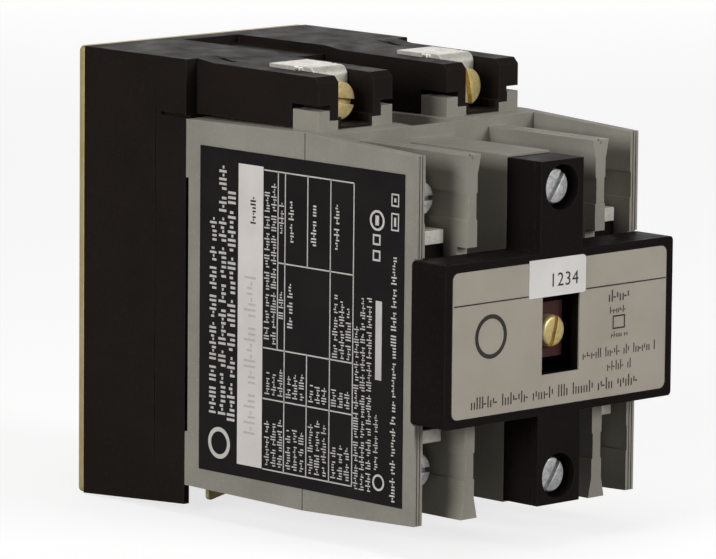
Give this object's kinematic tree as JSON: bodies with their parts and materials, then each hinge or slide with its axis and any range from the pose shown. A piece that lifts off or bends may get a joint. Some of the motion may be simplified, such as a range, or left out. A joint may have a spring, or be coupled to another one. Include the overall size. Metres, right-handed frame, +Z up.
{
  "type": "industrial control relay",
  "caption": "Panel relay: magnet housing on a steel plate, contact block with cartridge slots in front, coil terminals on top and a cross-shaped cover with an indicator window.",
  "frame": {"origin": "centre of the back face of the mounting plate, where it meets the panel", "axes": "+Z up, -Y out of the panel towards the user, +X to the user's right"},
  "size_m": [0.0654, 0.1104, 0.0949],
  "materials": {
    "black_moulding": "satin",
    "grey_moulding": "fine moulded grain",
    "maroon_moulding": "satin",
    "chromated_steel": "yellow chromate",
    "laminated_steel": "ground pole faces",
    "plated_copper": "tin plated",
    "zinc_steel": "zinc plated",
    "spring_steel": "drawn wire",
    "brass": "turned",
    "copper": "bare copper",
    "nylon": "natural",
    "coil_tape": "polyester film",
    "rubber_pad": "matt",
    "lead_insulation": "smooth",
    "nameplate_grey": "printed film",
    "sticker_white": "paper face",
    "label_black": "printed film"
  },
  "bodies": {
    "housing": {"mounting_plate": "chromated_steel", "base_housing": "black_moulding", "contact_block": "grey_moulding", "front_cover": "black_moulding", "nameplate": "nameplate_grey", "number_sticker": "sticker_white", "rating_label": "label_black", "shading_ring_top": "copper", "shading_ring_bottom": "copper", "core_cushion": "rubber_pad", "fixed_core": "laminated_steel", "coil_bobbin": "nylon", "coil_winding": "copper", "coil_tape": "coil_tape", "block_clip_left": "chromated_steel", "coil_lead_left": "lead_insulation", "coil_terminal_left": "plated_copper", "return_spring_left": "spring_steel", "cartridge_left": "black_moulding", "contact_terminal_left_top": "plated_copper", "contact_terminal_left_bottom": "plated_copper", "block_clip_right": "chromated_steel", "coil_lead_right": "lead_insulation", "coil_terminal_right": "plated_copper", "return_spring_right": "spring_steel", "cartridge_right": "black_moulding", "contact_terminal_right_top": "plated_copper", "contact_terminal_right_bottom": "plated_copper"},
    "armature_group": {"armature": "laminated_steel", "carrier": "maroon_moulding", "carrier_screw": "brass", "plunger_left": "maroon_moulding", "plunger_right": "maroon_moulding"},
    "bridge_left_body": {"bridge_left": "copper", "contact_spring_left": "spring_steel"},
    "bridge_right_body": {"bridge_right": "copper", "contact_spring_right": "spring_steel"},
    "coil_clamp_left_body": {"coil_clamp_left": "plated_copper"},
    "coil_screw_left_body": {"coil_screw_left": "brass"},
    "contact_clamp_left_top_body": {"contact_clamp_left_top": "plated_copper"},
    "contact_screw_left_top_body": {"contact_screw_left_top": "zinc_steel"},
    "contact_clamp_left_bottom_body": {"contact_clamp_left_bottom": "plated_copper"},
    "contact_screw_left_bottom_body": {"contact_screw_left_bottom": "zinc_steel"},
    "coil_clamp_right_body": {"coil_clamp_right": "plated_copper"},
    "coil_screw_right_body": {"coil_screw_right": "brass"},
    "contact_clamp_right_top_body": {"contact_clamp_right_top": "plated_copper"},
    "contact_screw_right_top_body": {"contact_screw_right_top": "zinc_steel"},
    "contact_clamp_right_bottom_body": {"contact_clamp_right_bottom": "plated_copper"},
    "contact_screw_right_bottom_body": {"contact_screw_right_bottom": "zinc_steel"},
    "cover_washer_top_body": {"cover_washer_top": "zinc_steel"},
    "cover_screw_top_body": {"cover_screw_top": "zinc_steel"},
    "cover_washer_bottom_body": {"cover_washer_bottom": "zinc_steel"},
    "cover_screw_bottom_body": {"cover_screw_bottom": "zinc_steel"}
  },
  "joints": [
    {"name": "armature_slide", "type": "slide", "parent": "housing", "child": "armature_group", "axis": [0, 1, 0], "range_m": [0, 0.0045], "deforming": ["return_spring_left", "return_spring_right"]},
    {"name": "bridge_left_slide", "type": "slide", "parent": "housing", "child": "bridge_left_body", "axis": [0, 1, 0], "range_m": [0, 0.0034], "deforming": ["contact_spring_left"]},
    {"name": "bridge_right_slide", "type": "slide", "parent": "housing", "child": "bridge_right_body", "axis": [0, 1, 0], "range_m": [0, 0.0034], "deforming": ["contact_spring_right"]},
    {"name": "coil_clamp_left_slide", "type": "slide", "parent": "housing", "child": "coil_clamp_left_body", "axis": [0, -1, 0], "range_m": [0, 0.00238]},
    {"name": "coil_screw_left_turn", "type": "hinge", "parent": "coil_clamp_left_body", "child": "coil_screw_left_body", "pos_m": [-0.0182, -0.0621, 0.0408], "axis": [0, -1, 0], "range_deg": [0, 1081]},
    {"name": "contact_clamp_left_top_slide", "type": "slide", "parent": "housing", "child": "contact_clamp_left_top_body", "axis": [0, -1, 0], "range_m": [0, 0.00238]},
    {"name": "contact_screw_left_top_turn", "type": "hinge", "parent": "contact_clamp_left_top_body", "child": "contact_screw_left_top_body", "pos_m": [-0.02465, -0.0918, 0.0244], "axis": [0, -1, 0], "range_deg": [0, 1081]},
    {"name": "contact_clamp_left_bottom_slide", "type": "slide", "parent": "housing", "child": "contact_clamp_left_bottom_body", "axis": [0, -1, 0], "range_m": [0, 0.00238]},
    {"name": "contact_screw_left_bottom_turn", "type": "hinge", "parent": "contact_clamp_left_bottom_body", "child": "contact_screw_left_bottom_body", "pos_m": [-0.02465, -0.0918, -0.0308], "axis": [0, -1, 0], "range_deg": [0, 1081]},
    {"name": "coil_clamp_right_slide", "type": "slide", "parent": "housing", "child": "coil_clamp_right_body", "axis": [0, -1, 0], "range_m": [0, 0.00238]},
    {"name": "coil_screw_right_turn", "type": "hinge", "parent": "coil_clamp_right_body", "child": "coil_screw_right_body", "pos_m": [0.0182, -0.0621, 0.0408], "axis": [0, -1, 0], "range_deg": [0, 1081]},
    {"name": "contact_clamp_right_top_slide", "type": "slide", "parent": "housing", "child": "contact_clamp_right_top_body", "axis": [0, -1, 0], "range_m": [0, 0.00238]},
    {"name": "contact_screw_right_top_turn", "type": "hinge", "parent": "contact_clamp_right_top_body", "child": "contact_screw_right_top_body", "pos_m": [0.02465, -0.0918, 0.0244], "axis": [0, -1, 0], "range_deg": [0, 1081]},
    {"name": "contact_clamp_right_bottom_slide", "type": "slide", "parent": "housing", "child": "contact_clamp_right_bottom_body", "axis": [0, -1, 0], "range_m": [0, 0.00238]},
    {"name": "contact_screw_right_bottom_turn", "type": "hinge", "parent": "contact_clamp_right_bottom_body", "child": "contact_screw_right_bottom_body", "pos_m": [0.02465, -0.0918, -0.0308], "axis": [0, -1, 0], "range_deg": [0, 1081]},
    {"name": "cover_washer_top_slide", "type": "slide", "parent": "housing", "child": "cover_washer_top_body", "axis": [0, -1, 0], "range_m": [0, 0.00397]},
    {"name": "cover_screw_top_turn", "type": "hinge", "parent": "cover_washer_top_body", "child": "cover_screw_top_body", "pos_m": [0, -0.1057, 0.0262], "axis": [0, -1, 0], "range_deg": [0, 1801]},
    {"name": "cover_washer_bottom_slide", "type": "slide", "parent": "housing", "child": "cover_washer_bottom_body", "axis": [0, -1, 0], "range_m": [0, 0.00397]},
    {"name": "cover_screw_bottom_turn", "type": "hinge", "parent": "cover_washer_bottom_body", "child": "cover_screw_bottom_body", "pos_m": [0, -0.1057, -0.0326], "axis": [0, -1, 0], "range_deg": [0, 1801]}
  ],
  "couplings": [
    {"joint": "bridge_left_slide", "follows": "armature_slide", "ratio": 0.75555},
    {"joint": "bridge_right_slide", "follows": "armature_slide", "ratio": 0.75555},
    {"joint": "coil_screw_left_turn", "follows": "coil_clamp_left_slide", "rad_per_m": 7915.8},
    {"joint": "contact_screw_left_top_turn", "follows": "contact_clamp_left_top_slide", "rad_per_m": 7915.8},
    {"joint": "contact_screw_left_bottom_turn", "follows": "contact_clamp_left_bottom_slide", "rad_per_m": 7915.8},
    {"joint": "coil_screw_right_turn", "follows": "coil_clamp_right_slide", "rad_per_m": 7915.8},
    {"joint": "contact_screw_right_top_turn", "follows": "contact_clamp_right_top_slide", "rad_per_m": 7915.8},
    {"joint": "contact_screw_right_bottom_turn", "follows": "contact_clamp_right_bottom_slide", "rad_per_m": 7915.8},
    {"joint": "cover_screw_top_turn", "follows": "cover_washer_top_slide", "rad_per_m": 7915.8},
    {"joint": "cover_screw_bottom_turn", "follows": "cover_washer_bottom_slide", "rad_per_m": 7915.8}
  ]
}
